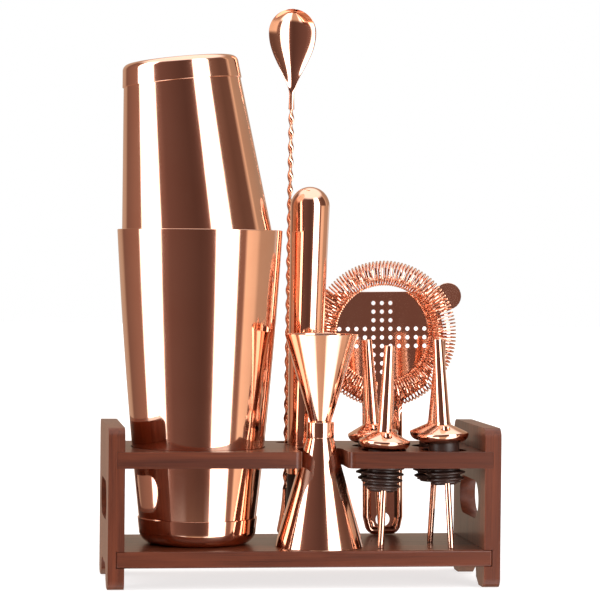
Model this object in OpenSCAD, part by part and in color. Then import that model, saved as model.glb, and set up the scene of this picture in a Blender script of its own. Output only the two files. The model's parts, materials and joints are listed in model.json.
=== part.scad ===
// Cocktail shaker set on a two-tier wooden stand.
// Millimetres. X runs along the stand, Y from its front to its back, Z up.
// The origin is the middle of the stand's footprint, on the table.

/* [Stand] */
// Thickness of every board
board_t = 9; // [7:0.5:12]
// Height of the shelf's underside above the table
foot_h = 12; // [8:0.5:18]
// Height of the deck's upper face above the table
deck_z = 75; // [62:1:92]
// How far the end panels stand above the deck
panel_rise = 13; // [8:1:25]
// Depth of the groove that each board's end sits in
groove_depth = 4.5; // [2:0.5:6]
// Wood between the large tin's hole and the deck's front and back edges
deck_web = 6.5; // [4:0.5:15]
// Wood between the large tin's hole and the left panel
tin_web = 5.8; // [4:0.1:15]
// Wood between the last pourer hole and the right panel
pourer_web = 7.2; // [4:0.1:15]
// Length of the hand hole in each panel
hand_hole_w = 52; // [35:1:60]
// Height of the hand hole in each panel
hand_hole_h = 21.5; // [14:0.5:24]
// Width of each foot at the table
foot_w = 15; // [10:1:22]

/* [Large tin] */
// Outside diameter of the large tin's rim
tin_rim_d = 92.3; // [76:0.1:112]
// Height of the large tin
tin_h = 175; // [145:1:212]
// Outside diameter of the large tin just above its base cap
tin_waist_d = 65.8; // [54:0.1:80]
// How far the large tin's side bows outwards
tin_bulge = 1.1; // [0.4:0.1:3]
// Wall of both tins
tin_wall = 0.7; // [0.5:0.1:1.2]
// Height of the large tin's base cap
tin_cap_h = 14.8; // [12:0.1:20]
// Corner radius of the large tin's base cap
tin_cap_r = 8; // [5:0.5:9]
// Clearance between the large tin and its hole
tin_fit = 0.6; // [0.3:0.1:2]

/* [Small tin] */
// How much smaller the small tin's mouth radius is than the large tin's
nest_step = 2.3; // [1.5:0.1:5]
// Length of the small tin
small_h = 116.6; // [96:0.1:142]
// Outside diameter of the small tin just beside its cap
small_waist_d = 65.4; // [54:0.1:80]
// Height of the small tin's cap
small_cap_h = 12.8; // [9:0.1:16]
// Corner radius of the small tin's cap
small_cap_r = 4; // [2:0.5:6]
// Lean of the small tin in the large one
small_tilt = 6; // [0:0.5:8]
// Clearance between the small tin's mouth and the large tin
nest_fit = 0.3; // [0.2:0.1:1]

/* [Bar spoon] */
// Length of the bar spoon
spoon_len = 303; // [250:0.1:365]
// Diameter of the spoon's twisted stem
stem_d = 3.4; // [2.8:0.1:5]
// Width of the spoon's bowl
bowl_w = 27.4; // [22:0.1:34]
// Depth of the spoon's bowl
bowl_depth = 6; // [4:0.5:9]
// Diameter of the weighted drop at the spoon's foot
drop_d = 9.2; // [7:0.1:12]
// Lean of the bar spoon in its hole
spoon_tilt = 0.35; // [0:0.05:0.8]
// Clearance around the spoon's drop in its hole
spoon_fit = 1.4; // [0.5:0.1:3]

/* [Muddler] */
// Length of the muddler
muddler_len = 200.3; // [165:0.1:242]
// Diameter of the muddler near its domed top
muddler_top_d = 22.3; // [18:0.1:27]
// Diameter of the muddler where its handle meets the head
muddler_neck_d = 17.2; // [14:0.1:21]
// Length of the muddler's moulded head
muddler_head_h = 37; // [25:1:45]
// Lean of the muddler in its hole
muddler_tilt = 1.15; // [0:0.05:1.5]
// Clearance between the muddler and its hole
muddler_fit = 1; // [0.6:0.1:3]

/* [Jigger] */
// Outside diameter of the large cup's rim
jig_base_d = 49.5; // [41:0.1:60]
// Height of the large cup
jig_base_h = 60.2; // [50:0.1:73]
// Outside diameter of the small cup's rim
jig_rim_d = 40.9; // [34:0.1:50]
// Height of the small cup
jig_rim_h = 48.8; // [40:0.1:59]
// Outside diameter of the small cup's foot
jig_neck_d = 11.8; // [10:0.1:14]
// Diameter of the collar between the cups
collar_d = 15.2; // [15:0.1:19]
// Height of the collar
collar_h = 8.8; // [6:0.1:12]
// Wall of the jigger's cups
jig_wall = 0.8; // [0.5:0.1:1.2]
// Clearance between the jigger and its notch
jig_fit = 0.9; // [0.5:0.1:3]

/* [Strainer] */
// Outside diameter of the strainer's spring ring
ring_d = 84.8; // [72:0.1:100]
// Diameter of the spring's coil
coil_d = 14.6; // [11:0.1:17]
// Diameter of the strainer's plate
plate_d = 72; // [62:0.1:78]
// Thickness of the strainer's sheet metal
sheet_t = 1.2; // [0.8:0.1:1.6]
// Distance from the ring's centre to the handle's foot
handle_reach = 116.6; // [100:0.1:140]
// Width of the strainer's handle
handle_w = 23.3; // [18:0.1:28]
// Depth of the handle's turned-up edge
handle_lip = 3; // [2:0.1:4]
// Diameter of the hole in the handle's foot
hang_hole_d = 8.3; // [5:0.1:11]
// Diameter of each hole in the plate
pore_d = 2.5; // [1.5:0.1:3]
// Spacing of the holes in the plate
pore_pitch = 5; // [4:0.1:6]
// Lean of the strainer in its slot
strainer_tilt = 0.8; // [0:0.1:1]
// Clearance around the strainer's handle in its slot
slot_fit = 0.9; // [0.6:0.1:2]

/* [Pourers] */
// Diameter of a pourer's flange
flange_d = 28.5; // [27:0.1:34]
// Height of a pourer's flange
flange_h = 10.2; // [8:0.1:12]
// Outside diameter of a spout at its foot
spout_d = 9.5; // [8.5:0.1:11.5]
// Outside diameter of a spout at its tip
spout_tip_d = 5.8; // [4.8:0.1:7]
// Height of a spout above its flange
spout_h = 47.6; // [40:0.1:59]
// Length of a pourer's cork below its flange
cork_h = 23; // [20:0.5:29]
// Diameter of the cork's widest fin
fin_d = 23.6; // [20:0.1:25]
// Diameter of a pourer's vent tube
vent_d = 3.4; // [2.8:0.1:3.8]
// Clearance around the widest fin in its hole
cork_fit = 0.7; // [0.5:0.1:2]
// Gap between neighbouring flanges along the stand
flange_gap_x = 5.7; // [2:0.1:12]
// Gap between neighbouring flanges across the stand
flange_gap_y = 3.5; // [2:0.1:8]
// How far the front right pourer's cork stands out of its hole
proud = 3.7; // [0:0.1:8]

/* [Layout] */
// Gap between pieces that stand side by side
item_gap = 1.8; // [1:0.1:6]
// Gap between the large tin and the jigger's rim
tin_gap = 3.3; // [1.5:0.1:12]
// Wood between the notch and the nearest pourer hole
notch_web = 9.3; // [5:0.1:20]
// Clearance of a board's end in its groove
groove_gap = 0.1; // [0.05:0.05:0.3]

/* [Hidden] */

$fn = 96;
copper = [0.85, 0.55, 0.42];
walnut = [0.40, 0.22, 0.16];
black = [0.09, 0.08, 0.08];
over = 1; // how far a cut runs past the face it opens
touch = 0.02; // a leaning piece's lowest point stays this far above what it rests on

// Heights
shelf_z = foot_h + board_t;
panel_h = deck_z + panel_rise;
deck_under = deck_z - board_t;
deck_mid = deck_z - board_t / 2;

// A tin's side: [length, cap height, waist radius, rim radius, bow]
large_side = [tin_h, tin_cap_h, tin_waist_d / 2, tin_rim_d / 2, tin_bulge];
small_side = [small_h, small_cap_h, small_waist_d / 2, tin_rim_d / 2 - nest_step, 0];
function side_r(s, h) =
    let (t = (h - s[1]) / (s[0] - s[1]))
    s[2] + (s[3] - s[2]) * t + 4 * s[4] * t * (1 - t);
// Height at which the large tin's outside radius is r
function large_h_at(r) =
    let (grow = large_side[3] - large_side[2] + 4 * tin_bulge,
         t = (grow - sqrt(grow * grow - 16 * tin_bulge * (r - large_side[2]))) / (8 * tin_bulge))
    tin_cap_h + t * (tin_h - tin_cap_h);

// A base cap: it stands proud of the side, and holds a weight under the tin's floor
cap_step = 0.65;
cap_wall = 0.6;
cap_gap = 0.05;
floor_h = 6;
floor_edge = 2.5;

// Jigger outline at height h above its foot, for the notch and the neighbours
jig_h = jig_base_h + collar_h + jig_rim_h;
waist_r = collar_d / 2 - 0.1;
function jig_r(h) =
    h < jig_base_h ? jig_base_d / 2 + (waist_r - jig_base_d / 2) * h / jig_base_h
    : h < jig_base_h + collar_h ? collar_d / 2
    : jig_neck_d / 2 + (jig_rim_d - jig_neck_d) / 2 * (h - jig_base_h - collar_h) / jig_rim_h;

// Muddler outline at height h above its foot
dome_h = muddler_top_d / 2;
function muddler_r(h) =
    h < muddler_head_h ? muddler_neck_d / 2
    : (muddler_neck_d + (muddler_top_d - muddler_neck_d)
        * (h - muddler_head_h) / (muddler_len - dome_h - muddler_head_h)) / 2;

// Layout along the stand, from the left panel's inner face
tin_hole_r = side_r(large_side, deck_z - shelf_z) + tin_fit;
notch_r = max(jig_r(deck_under - shelf_z), jig_r(deck_z - shelf_z), collar_d / 2) + jig_fit;
notch_lip = 4;
pourer_hole_r = fin_d / 2 + cork_fit;
tin_from_left = tin_web + tin_hole_r;
jig_from_left = tin_from_left + side_r(large_side, jig_h) + jig_rim_d / 2 + tin_gap;
col_1_from_left = jig_from_left + notch_r + notch_web + pourer_hole_r;
col_2_from_left = col_1_from_left + flange_d + flange_gap_x;
inner_w = col_2_from_left + pourer_hole_r + pourer_web;
stand_w = inner_w + 2 * board_t;
tin_x = tin_from_left - inner_w / 2;
jig_x = jig_from_left - inner_w / 2;
col_1_x = col_1_from_left - inner_w / 2;
col_2_x = col_2_from_left - inner_w / 2;
muddler_shift = -5.2; // the muddler's hole stands left of the jigger
muddler_x = jig_x + muddler_shift;
strainer_shift = -7; // the strainer stands left of the middle of the pourers
strainer_x = (col_1_x + col_2_x) / 2 + strainer_shift;

// Layout across the stand, front to back
// The muddler leans, so its foot stands further left than its hole
deck_rise = deck_mid - shelf_z;
jig_overhang = 0.75; // the jigger's foot stands this far past the stand's front
foot_gap = 0.8;
foot_shift = muddler_shift - deck_rise * tan(muddler_tilt);
foot_reach = (jig_base_d + muddler_neck_d) / 2 + foot_gap;
muddler_back = max(jig_rim_d / 2 + muddler_r(jig_h) + item_gap,
    sqrt(foot_reach * foot_reach - foot_shift * foot_shift)); // from the jigger's axis
// The strainer's coil clears the muddler's top, also while the strainer is lifted
ring_gap = 0.2;
strainer_travel = 80;
ring_r = (ring_d - coil_d) / 2;
coil_gap = 0.05;
coil_front = coil_d / 2 - handle_lip / 2 + sheet_t + coil_gap; // from the strainer's middle plane
muddler_top_x = muddler_x + (muddler_len - dome_h - deck_rise) * tan(muddler_tilt);
ring_left_x = strainer_x - ring_r - (handle_reach + strainer_travel - deck_rise) * tan(strainer_tilt);
ring_reach = (muddler_top_d + coil_d) / 2 + ring_gap;
ring_across = max(ring_left_x - muddler_top_x, 0);
ring_back = sqrt(max(ring_reach * ring_reach - ring_across * ring_across, 0)); // from the muddler's axis
slot_w = handle_lip + 2 * slot_fit;
slot_web = 5;
// As deep as the large tin's hole needs, or the row of jigger, muddler and strainer
stand_d = max(2 * (tin_hole_r + deck_web), jig_base_d / 2 - jig_overhang + muddler_back
    + ring_back + coil_front + slot_w / 2 + slot_web);
tin_y = 0;
jig_y = -stand_d / 2 + jig_base_d / 2 - jig_overhang;
muddler_y = jig_y + muddler_back;
muddler_hole_r = muddler_r(deck_rise) + muddler_fit;
strainer_y = stand_d / 2 - slot_web - slot_w / 2;
pourer_front_web = 4.5;
front_row_y = -stand_d / 2 + pourer_front_web + pourer_hole_r;
back_row_y = front_row_y + flange_d + flange_gap_y;
spoon_hole_r = drop_d / 2 + spoon_fit;
spoon_web = 3.2; // wood between the spoon's hole and the muddler's
spoon_bearing = 113; // direction from the muddler's hole to the spoon's
spoon_reach = muddler_hole_r + spoon_hole_r + spoon_web;
spoon_x = muddler_x + spoon_reach * cos(spoon_bearing);
spoon_y = muddler_y + spoon_reach * sin(spoon_bearing);

// ---------- Stand ----------

panel_r = 5.5;
hand_rise = 3; // the hand hole sits above the middle of the bay
hand_z = (shelf_z + deck_under) / 2 + hand_rise;
arch_slope = 7;
arch_r = min(8, foot_h - 3);

module rounded_rect(x0, y0, x1, y1, r) {
    translate([x0 + r, y0]) square([x1 - x0 - 2 * r, y1 - y0]);
    translate([x0, y0 + r]) square([x1 - x0, y1 - y0 - 2 * r]);
    for (x = [x0 + r, x1 - r], y = [y0 + r, y1 - r]) translate([x, y]) circle(r);
}

module stadium(w, h) {
    square([w - h, h], center = true);
    for (side = [-1, 1]) translate([side * (w - h) / 2, 0]) circle(h / 2);
}

module arch() {
    foot = stand_d / 2 - foot_w;
    top = foot - arch_slope;
    polygon([[-foot, -over], [-foot, 0], [-top, foot_h - arch_r], [top, foot_h - arch_r],
        [foot, 0], [foot, -over]]);
    translate([-top + arch_r, 0]) square([2 * (top - arch_r), foot_h]);
    for (side = [-1, 1]) translate([side * (top - arch_r), foot_h - arch_r]) circle(arch_r);
}

module end_panel() {
    difference() {
        translate([-inner_w / 2 - board_t, 0, 0]) rotate([90, 0, 90]) linear_extrude(board_t)
            difference() {
                rounded_rect(-stand_d / 2, 0, stand_d / 2, panel_h, panel_r);
                translate([0, hand_z]) stadium(hand_hole_w, hand_hole_h);
                arch();
            }
        for (z = [foot_h, deck_under])
            translate([-inner_w / 2 - groove_depth, -stand_d, z])
                cube([groove_depth + over, 2 * stand_d, board_t + groove_gap]);
    }
}

module board(z) {
    half = inner_w / 2 + groove_depth - groove_gap;
    translate([-half, -stand_d / 2, z]) linear_extrude(board_t)
        translate([half, stand_d / 2]) children();
}

module board_outline() {
    half = inner_w / 2 + groove_depth - groove_gap;
    translate([-half, -stand_d / 2]) square([2 * half, stand_d]);
}

// An open notch for the jigger, with rounded lips
module notch() {
    front = -stand_d / 2;
    circle_y = jig_y;
    translate([jig_x, circle_y]) circle(notch_r);
    translate([jig_x - notch_r, front - over]) square([2 * notch_r, circle_y - front + over]);
    for (side = [-1, 1]) translate([jig_x + side * notch_r, front]) difference() {
        translate([side > 0 ? -over : -notch_lip, -over]) square([notch_lip + over, notch_lip + over]);
        translate([side * notch_lip, notch_lip]) circle(notch_lip);
    }
}

module left_end_panel() { color(walnut) end_panel(); }
module right_end_panel() { color(walnut) mirror([1, 0, 0]) end_panel(); }

module top_shelf() {
    color(walnut) board(deck_under) difference() {
        board_outline();
        translate([tin_x, tin_y]) circle(tin_hole_r);
        translate([spoon_x, spoon_y]) circle(spoon_hole_r);
        translate([muddler_x, muddler_y]) circle(muddler_hole_r);
        notch();
        for (x = [col_1_x, col_2_x], y = [front_row_y, back_row_y])
            translate([x, y]) circle(pourer_hole_r);
        translate([strainer_x, strainer_y]) stadium(handle_w + 2 * slot_fit + slot_w / 2, slot_w);
    }
}

module bottom_shelf() { color(walnut) board(foot_h) board_outline(); }

// ---------- Tins ----------

side_steps = 14;
corner_steps = 6;

module tin_side(s) {
    r0 = side_r(s, floor_h) - floor_edge;
    outer = [for (i = [0:side_steps])
        let (h = floor_h + floor_edge + (s[0] - floor_h - floor_edge) * i / side_steps) [side_r(s, h), h]];
    inner = [for (i = [side_steps:-1:0])
        let (h = floor_h + floor_edge + tin_wall + (s[0] - floor_h - floor_edge - tin_wall) * i / side_steps)
        [side_r(s, h) - tin_wall, h]];
    rotate_extrude() polygon(concat([[0, floor_h], [r0, floor_h]], outer, inner,
        [[r0, floor_h + tin_wall], [0, floor_h + tin_wall]]));
}

module tin_cap(s, corner) {
    r = side_r(s, corner) + cap_step;
    centre = r - corner;
    outer = [for (i = [0:corner_steps])
        let (a = -90 + 90 * i / corner_steps) [centre + corner * cos(a), corner + corner * sin(a)]];
    inner = [for (i = [corner_steps:-1:0])
        let (a = -90 + 90 * i / corner_steps, c = corner - cap_wall) [centre + c * cos(a), corner + c * sin(a)]];
    lip = side_r(s, s[1]);
    rotate_extrude() polygon(concat([[0, 0]], outer, [[lip + cap_step, s[1]], [lip + cap_gap, s[1]]],
        inner, [[0, cap_wall]]));
}

weight_inset = 0.4;
module tin_weight(s, corner) {
    r = side_r(s, corner) + cap_step - corner - weight_inset;
    translate([0, 0, cap_wall]) cylinder(r = r, h = floor_h - cap_wall);
}

module place_large_tin() { translate([tin_x, tin_y, shelf_z]) children(); }

small_rim_r = small_side[3];
nest_h = large_h_at(small_rim_r * cos(small_tilt) + nest_fit + tin_wall);
mouth_z = shelf_z + nest_h + small_rim_r * sin(small_tilt);
module place_small_tin() {
    translate([tin_x, tin_y, mouth_z]) rotate([0, -small_tilt, 0])
        translate([0, 0, small_h]) rotate([180, 0, 0]) children();
}

module large_tin_shell() { color(copper) place_large_tin() tin_side(large_side); }
module large_tin_base_cap() { color(copper) place_large_tin() tin_cap(large_side, tin_cap_r); }
module large_tin_weight() { color("dimgray") place_large_tin() tin_weight(large_side, tin_cap_r); }
module small_tin_shell() { color(copper) place_small_tin() tin_side(small_side); }
module small_tin_base_cap() { color(copper) place_small_tin() tin_cap(small_side, small_cap_r); }
module small_tin_weight() { color("dimgray") place_small_tin() tin_weight(small_side, small_cap_r); }

// ---------- Bar spoon ----------

drop_h = 27;
neck_h = 8; // slim neck between the stem and the bowl
bowl_r = bowl_w / 2;
bowl_taper = 36; // from the bowl's widest point down to the neck
neck_half_w = 1.35;
bowl_t = 1.2;
stem_top = spoon_len - bowl_r - bowl_taper - neck_h;
bowl_rows = 30;
bowl_cols = 14;
tip_angle = 84;

// Half width of the bowl at height v above the stem's top
function bowl_half(v) =
    v < neck_h ? stem_d / 2 + (neck_half_w - stem_d / 2) * v / neck_h
    : v < neck_h + bowl_taper
        ? neck_half_w + (bowl_r - neck_half_w) * pow(sin(90 * pow((v - neck_h) / bowl_taper, 0.87)), 2)
        : sqrt(bowl_r * bowl_r - pow(v - neck_h - bowl_taper, 2));
function bowl_dish(v) = v < neck_h ? 0 : bowl_depth * (bowl_half(v) - neck_half_w) / (bowl_r - neck_half_w);
flatten_h = 7; // height over which the round stem flattens to the bowl's sheet
function bowl_thick(v) = v < flatten_h ? stem_d + (bowl_t - stem_d) * v / flatten_h : bowl_t;

bowl_top = neck_h + bowl_taper + bowl_r * sin(tip_angle);
function bowl_v(i) = i <= 6 ? neck_h * i / 6
    : i <= 20 ? neck_h + bowl_taper * (i - 6) / 14
    : neck_h + bowl_taper + bowl_r * sin(tip_angle * (i - 20) / (bowl_rows - 20));
// Point (row i, column j) on the front (face 0) or back (face 1)
function bowl_point(i, j, face) =
    let (v = bowl_v(i), a = 180 * j / bowl_cols, t = bowl_thick(v))
    [-bowl_half(v) * cos(a), bowl_dish(v) * sin(a) - t / 2 + face * t, v];

module spoon_dish() {
    n = bowl_cols + 1;
    face = n * (bowl_rows + 1);
    points = [for (f = [0, 1], i = [0:bowl_rows], j = [0:bowl_cols]) bowl_point(i, j, f)];
    front = [for (i = [0:bowl_rows - 1], j = [0:bowl_cols - 1]) let (a = i * n + j)
        each [[a, a + 1, a + n + 1], [a, a + n + 1, a + n]]];
    back = [for (i = [0:bowl_rows - 1], j = [0:bowl_cols - 1]) let (a = face + i * n + j)
        each [[a, a + n + 1, a + 1], [a, a + n, a + n + 1]]];
    sides = [for (i = [0:bowl_rows - 1]) let (l = i * n, r = i * n + bowl_cols)
        each [[l, l + n, l + n + face], [l, l + n + face, l + face],
              [r, r + face, r + n + face], [r, r + n + face, r + n]]];
    ends = [for (j = [0:bowl_cols - 1]) let (b = j, t = bowl_rows * n + j)
        each [[b, b + face, b + 1 + face], [b, b + 1 + face, b + 1],
              [t, t + 1, t + 1 + face], [t, t + 1 + face, t + face]]];
    polyhedron(points, [for (f = concat(front, back, sides, ends)) [f[2], f[1], f[0]]]);
}

module place_spoon() {
    axis_x = spoon_x - deck_rise * tan(spoon_tilt);
    translate([axis_x, spoon_y, shelf_z + touch]) rotate([0, spoon_tilt, 0]) children();
}
module spoon_bowl() { color(copper) place_spoon() translate([0, 0, stem_top]) spoon_dish(); }
module spoon_stem() {
    color(copper) place_spoon() translate([0, 0, drop_h]) cylinder(d = stem_d, h = stem_top - drop_h);
}
module spoon_drop() {
    steps = 12;
    belly = drop_d * 0.4;
    side = [for (i = [0:steps]) let (t = i / steps)
        [stem_d / 2 + (drop_d - stem_d) / 2 * pow(1 - t, 1.6), belly + (drop_h - belly) * t]];
    foot = [for (i = [0:corner_steps - 1]) let (a = 90 * i / corner_steps)
        [drop_d / 2 * sin(a), belly * (1 - cos(a))]];
    color(copper) place_spoon() rotate_extrude($fn = 48)
        polygon(concat(foot, side, [[0, drop_h]]));
}

// ---------- Muddler ----------

spigot_h = 12;
spigot_gap = 0.05;
handle_wall = 1;
head_edge = 1;
module place_muddler() {
    lift = muddler_neck_d / 2 * sin(muddler_tilt) + 0.02;
    axis_x = muddler_x - deck_rise * tan(muddler_tilt);
    translate([axis_x, muddler_y, shelf_z + lift]) rotate([0, muddler_tilt, 0]) children();
}
module muddler_handle() {
    top = muddler_len - dome_h;
    dome = [for (i = [0:8]) let (a = 90 * i / 8)
        [muddler_top_d / 2 * cos(a), top + dome_h * sin(a)]];
    bore_r = muddler_neck_d / 2 - handle_wall;
    color(copper) place_muddler() difference() {
        rotate_extrude() polygon(concat([[0, muddler_head_h], [muddler_neck_d / 2, muddler_head_h]],
            dome));
        translate([0, 0, muddler_head_h - over]) cylinder(r = bore_r, h = top - muddler_head_h + over);
    }
}
module muddler_head() {
    r = muddler_neck_d / 2;
    color(black) place_muddler() {
        translate([0, 0, head_edge]) cylinder(r = r, h = muddler_head_h - head_edge);
        cylinder(r1 = r - head_edge, r2 = r, h = head_edge);
        cylinder(r = r - handle_wall - spigot_gap, h = muddler_head_h + spigot_h);
    }
}

// ---------- Jigger ----------

cup_floor = 2.5;
module place_jigger() { translate([jig_x, jig_y, shelf_z]) children(); }
module jigger_large_cup() {
    color(copper) place_jigger() rotate_extrude() polygon([
        [jig_base_d / 2, 0], [waist_r, jig_base_h], [0, jig_base_h], [0, jig_base_h - cup_floor],
        [waist_r - jig_wall, jig_base_h - cup_floor], [jig_base_d / 2 - jig_wall, 0]]);
}
module jigger_collar() {
    edge = 0.4;
    r = collar_d / 2;
    top = jig_base_h + collar_h;
    color(copper) place_jigger() rotate_extrude() polygon([
        [0, jig_base_h], [r - edge, jig_base_h], [r, jig_base_h + edge], [r, top - edge],
        [r - edge, top], [0, top]]);
}
module jigger_small_cup() {
    r = jig_neck_d / 2;
    z = jig_base_h + collar_h;
    color(copper) place_jigger() rotate_extrude() polygon([
        [0, z], [r, z], [jig_rim_d / 2, jig_h], [jig_rim_d / 2 - jig_wall, jig_h],
        [r - jig_wall / 2, z + cup_floor], [0, z + cup_floor]]);
}

// ---------- Strainer ----------

plate_top_cut = 24.3;
ear_r = 7.8;
ear_reach = 44.5;
ear_angle = 28.8;
shoulder_angle = 49.5;
neck_drop = 39.4;
handle_taper_h = 10;
handle_foot_w = 0.8;
handle_edge = 1.2; // width of the handle's turned-up edge
hang_rise = 8.6;
pore_drop = 2.3; // the holes' pattern is centred below the ring's centre
pore_rows = 4;
pore_cols = 5;

// Upright handle outline, drawn inset from its edge
module handle_outline(inset) {
    half = handle_w / 2 - inset;
    foot = half * handle_foot_w;
    z0 = -handle_reach + inset;
    corner = 3;
    top = -neck_drop - 2;
    translate([-foot + corner, z0]) square([2 * (foot - corner), corner]);
    for (side = [-1, 1]) translate([side * (foot - corner), z0 + corner]) circle(corner);
    polygon([[-foot, z0 + corner], [-half, -handle_reach + handle_taper_h], [-half, top],
        [half, top], [half, -handle_reach + handle_taper_h], [foot, z0 + corner]]);
}

module plate_outline() {
    shoulder = [plate_d / 2 * 1.11 * cos(shoulder_angle), -plate_d / 2 * 1.11 * sin(shoulder_angle)];
    half = handle_w / 2;
    difference() {
        circle(d = plate_d);
        translate([-plate_d, plate_top_cut]) square([2 * plate_d, plate_d]);
    }
    for (side = [-1, 1]) rotate(90 - side * (90 - ear_angle)) {
        translate([plate_d / 2 - 8, -ear_r * 0.85]) square([ear_reach - plate_d / 2 + 8, ear_r * 1.7]);
        translate([ear_reach, 0]) circle(ear_r);
    }
    polygon([[-half, -neck_drop - 3], [-half, -neck_drop], -shoulder[0] * [1, 0] + [0, shoulder[1]],
        [0, 0], shoulder, [half, -neck_drop], [half, -neck_drop - 3]]);
}

module place_strainer() {
    foot_x = strainer_x + deck_rise * tan(strainer_tilt);
    lift = handle_w / 2 * handle_foot_w * sin(strainer_tilt) + 0.02;
    translate([foot_x, strainer_y, shelf_z + lift]) rotate([0, -strainer_tilt, 0])
        translate([0, 0, handle_reach]) rotate([90, 0, 0]) children();
}

module strainer_plate() {
    back = -handle_lip / 2;
    color(copper) place_strainer() difference() {
        union() {
            translate([0, 0, back]) linear_extrude(sheet_t) plate_outline();
            translate([0, 0, back]) linear_extrude(handle_lip) handle_outline(0);
        }
        translate([0, 0, back + sheet_t]) linear_extrude(handle_lip) {
            handle_outline(handle_edge);
            translate([-plate_d, -neck_drop - 2.1]) square([2 * plate_d, neck_drop + plate_d]);
        }
        translate([0, -handle_reach + hang_rise, back - over]) cylinder(d = hang_hole_d, h = handle_lip + 2 * over);
        for (i = [-pore_cols:pore_cols], j = [-pore_rows:pore_rows])
            if ((abs(i) <= 1 || abs(j) <= 1) && norm([i, j]) * pore_pitch + pore_d < plate_d / 2)
                translate([i * pore_pitch, j * pore_pitch - pore_drop, back - over])
                    cylinder(d = pore_d, h = handle_lip + 2 * over, $fn = 24);
    }
}

coil_shell = 0.3; // the coil's wire spread over the coil's surface
spring_open = 8; // half the angle at the handle where the spring's ends stop
module strainer_spring() {
    color(copper) place_strainer() translate([0, 0, coil_front])
        rotate(-90 + spring_open) rotate_extrude(angle = 360 - 2 * spring_open) translate([ring_r, 0])
            difference() {
                circle(d = coil_d);
                circle(d = coil_d - 2 * coil_shell);
            }
}

// ---------- Pourers ----------

// [hole x, hole y, lean along the stand, lean across it, how far it stands proud]
POURERS = [
    [col_1_x, back_row_y, -4.5, 0, 2.4],
    [col_1_x, front_row_y, 2.5, 0, 0],
    [col_2_x, front_row_y, -3.2, -3, proud],
    [col_2_x, back_row_y, 3.5, -2, 2.4]];

cork_top_d = 17.2; // the flange's underside curves in to the cork's top
flange_belly = 4.7; // height of the flange's widest line
flange_lip = 0.9;
spout_wall = 0.7;
spout_foot_r = 3.4; // the spout's foot inside the flange
spout_gap = 0.05;
vent_offset = 5.8;
vent_gap = 0.05;
vent_hole_d = 5.2;
vent_hole_y = -8.6;
fin_count = 5;
fin_taper = 9;

function lean_sin(p) = sqrt(1 - pow(cos(p[2]) * cos(p[3]), 2));
function flange_z(p) = deck_z + p[4];

module place_pourer(p) {
    rise = (flange_z(p) - deck_mid);
    translate([p[0] + rise * tan(p[2]), p[1] - rise * tan(p[3]), flange_z(p)])
        rotate([p[3], p[2], 0]) children();
}

module pourer_spout(p) {
    tip = flange_h + spout_h;
    color(copper) place_pourer(p) difference() {
        union() {
            translate([0, 0, 1]) cylinder(r = spout_foot_r, h = flange_h);
            translate([0, 0, flange_h]) cylinder(d1 = spout_d, d2 = spout_tip_d, h = spout_h);
        }
        translate([0, 0, flange_h + 1])
            cylinder(d1 = spout_d - 2 * spout_wall, d2 = spout_tip_d - 2 * spout_wall, h = spout_h - 1 + 0.001);
        cylinder(r = spout_foot_r - spout_wall, h = tip / 2);
    }
}

module pourer_flange(p) {
    edge = flange_d / 2;
    foot = cork_top_d / 2;
    color(copper) place_pourer(p) difference() {
        rotate_extrude() polygon(concat([[0, 0]],
            [for (a = [0:10:90]) [foot + (edge - foot) * sin(a), flange_belly * (1 - cos(a))]],
            [[edge - 0.15, flange_belly + flange_lip / 2], [edge - 0.65, flange_belly + flange_lip],
            [spout_d / 2 + 0.8, flange_h - 0.4], [spout_d / 2, flange_h], [0, flange_h]]));
        translate([0, 0, -over]) cylinder(r = spout_foot_r + spout_gap, h = flange_h + 2 * over);
        translate([0, vent_hole_y, flange_belly]) cylinder(d = vent_hole_d, h = flange_h);
        translate([0, -vent_offset, -over]) cylinder(r = vent_d / 2 + vent_gap, h = over + flange_h * 0.6);
    }
}

cork_neck = 5; // plain length above the fins
module pourer_cork(p) {
    top = cork_top_d / 2;
    foot = top - 1.5;
    pitch = (cork_h - cork_neck - 1) / fin_count;
    // The lower fins are smaller
    function fin(h) = fin_d / 2 - fin_taper * pow(max(0, h - cork_neck - 4) / cork_h, 2);
    fins = [for (i = [0:fin_count - 1]) let (h = cork_neck + i * pitch)
        each [[top, -h], [fin(h), -h - pitch * 0.25], [fin(h), -h - pitch * 0.5], [top - 0.3, -h - pitch * 0.8]]];
    color(black) place_pourer(p) difference() {
        rotate_extrude() polygon(concat([[0, 0], [top, 0]], fins, [[foot, -cork_h + 0.8],
            [foot - 0.8, -cork_h], [0, -cork_h]]));
        translate([0, 0, -cork_h - over]) cylinder(r = spout_foot_r - spout_wall, h = cork_h + 2 * over);
        translate([0, -vent_offset, -cork_h - over]) cylinder(r = vent_d / 2 + vent_gap, h = cork_h + 2 * over);
    }
}

vent_len = deck_z + proud - shelf_z - 0.2;
vent_wall = 0.5;
// Each vent tube is pushed down through its cork until it stands on the shelf
module pourer_vent_tube(p) {
    foot = (shelf_z + touch + vent_d / 2 * lean_sin(p) - flange_z(p) + vent_offset * cos(p[2]) * sin(p[3]))
        / (cos(p[2]) * cos(p[3]));
    color(copper) place_pourer(p) translate([0, -vent_offset, foot]) difference() {
        cylinder(d = vent_d, h = vent_len);
        translate([0, 0, -over]) cylinder(d = vent_d - 2 * vent_wall, h = vent_len + 2 * over);
    }
}

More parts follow.
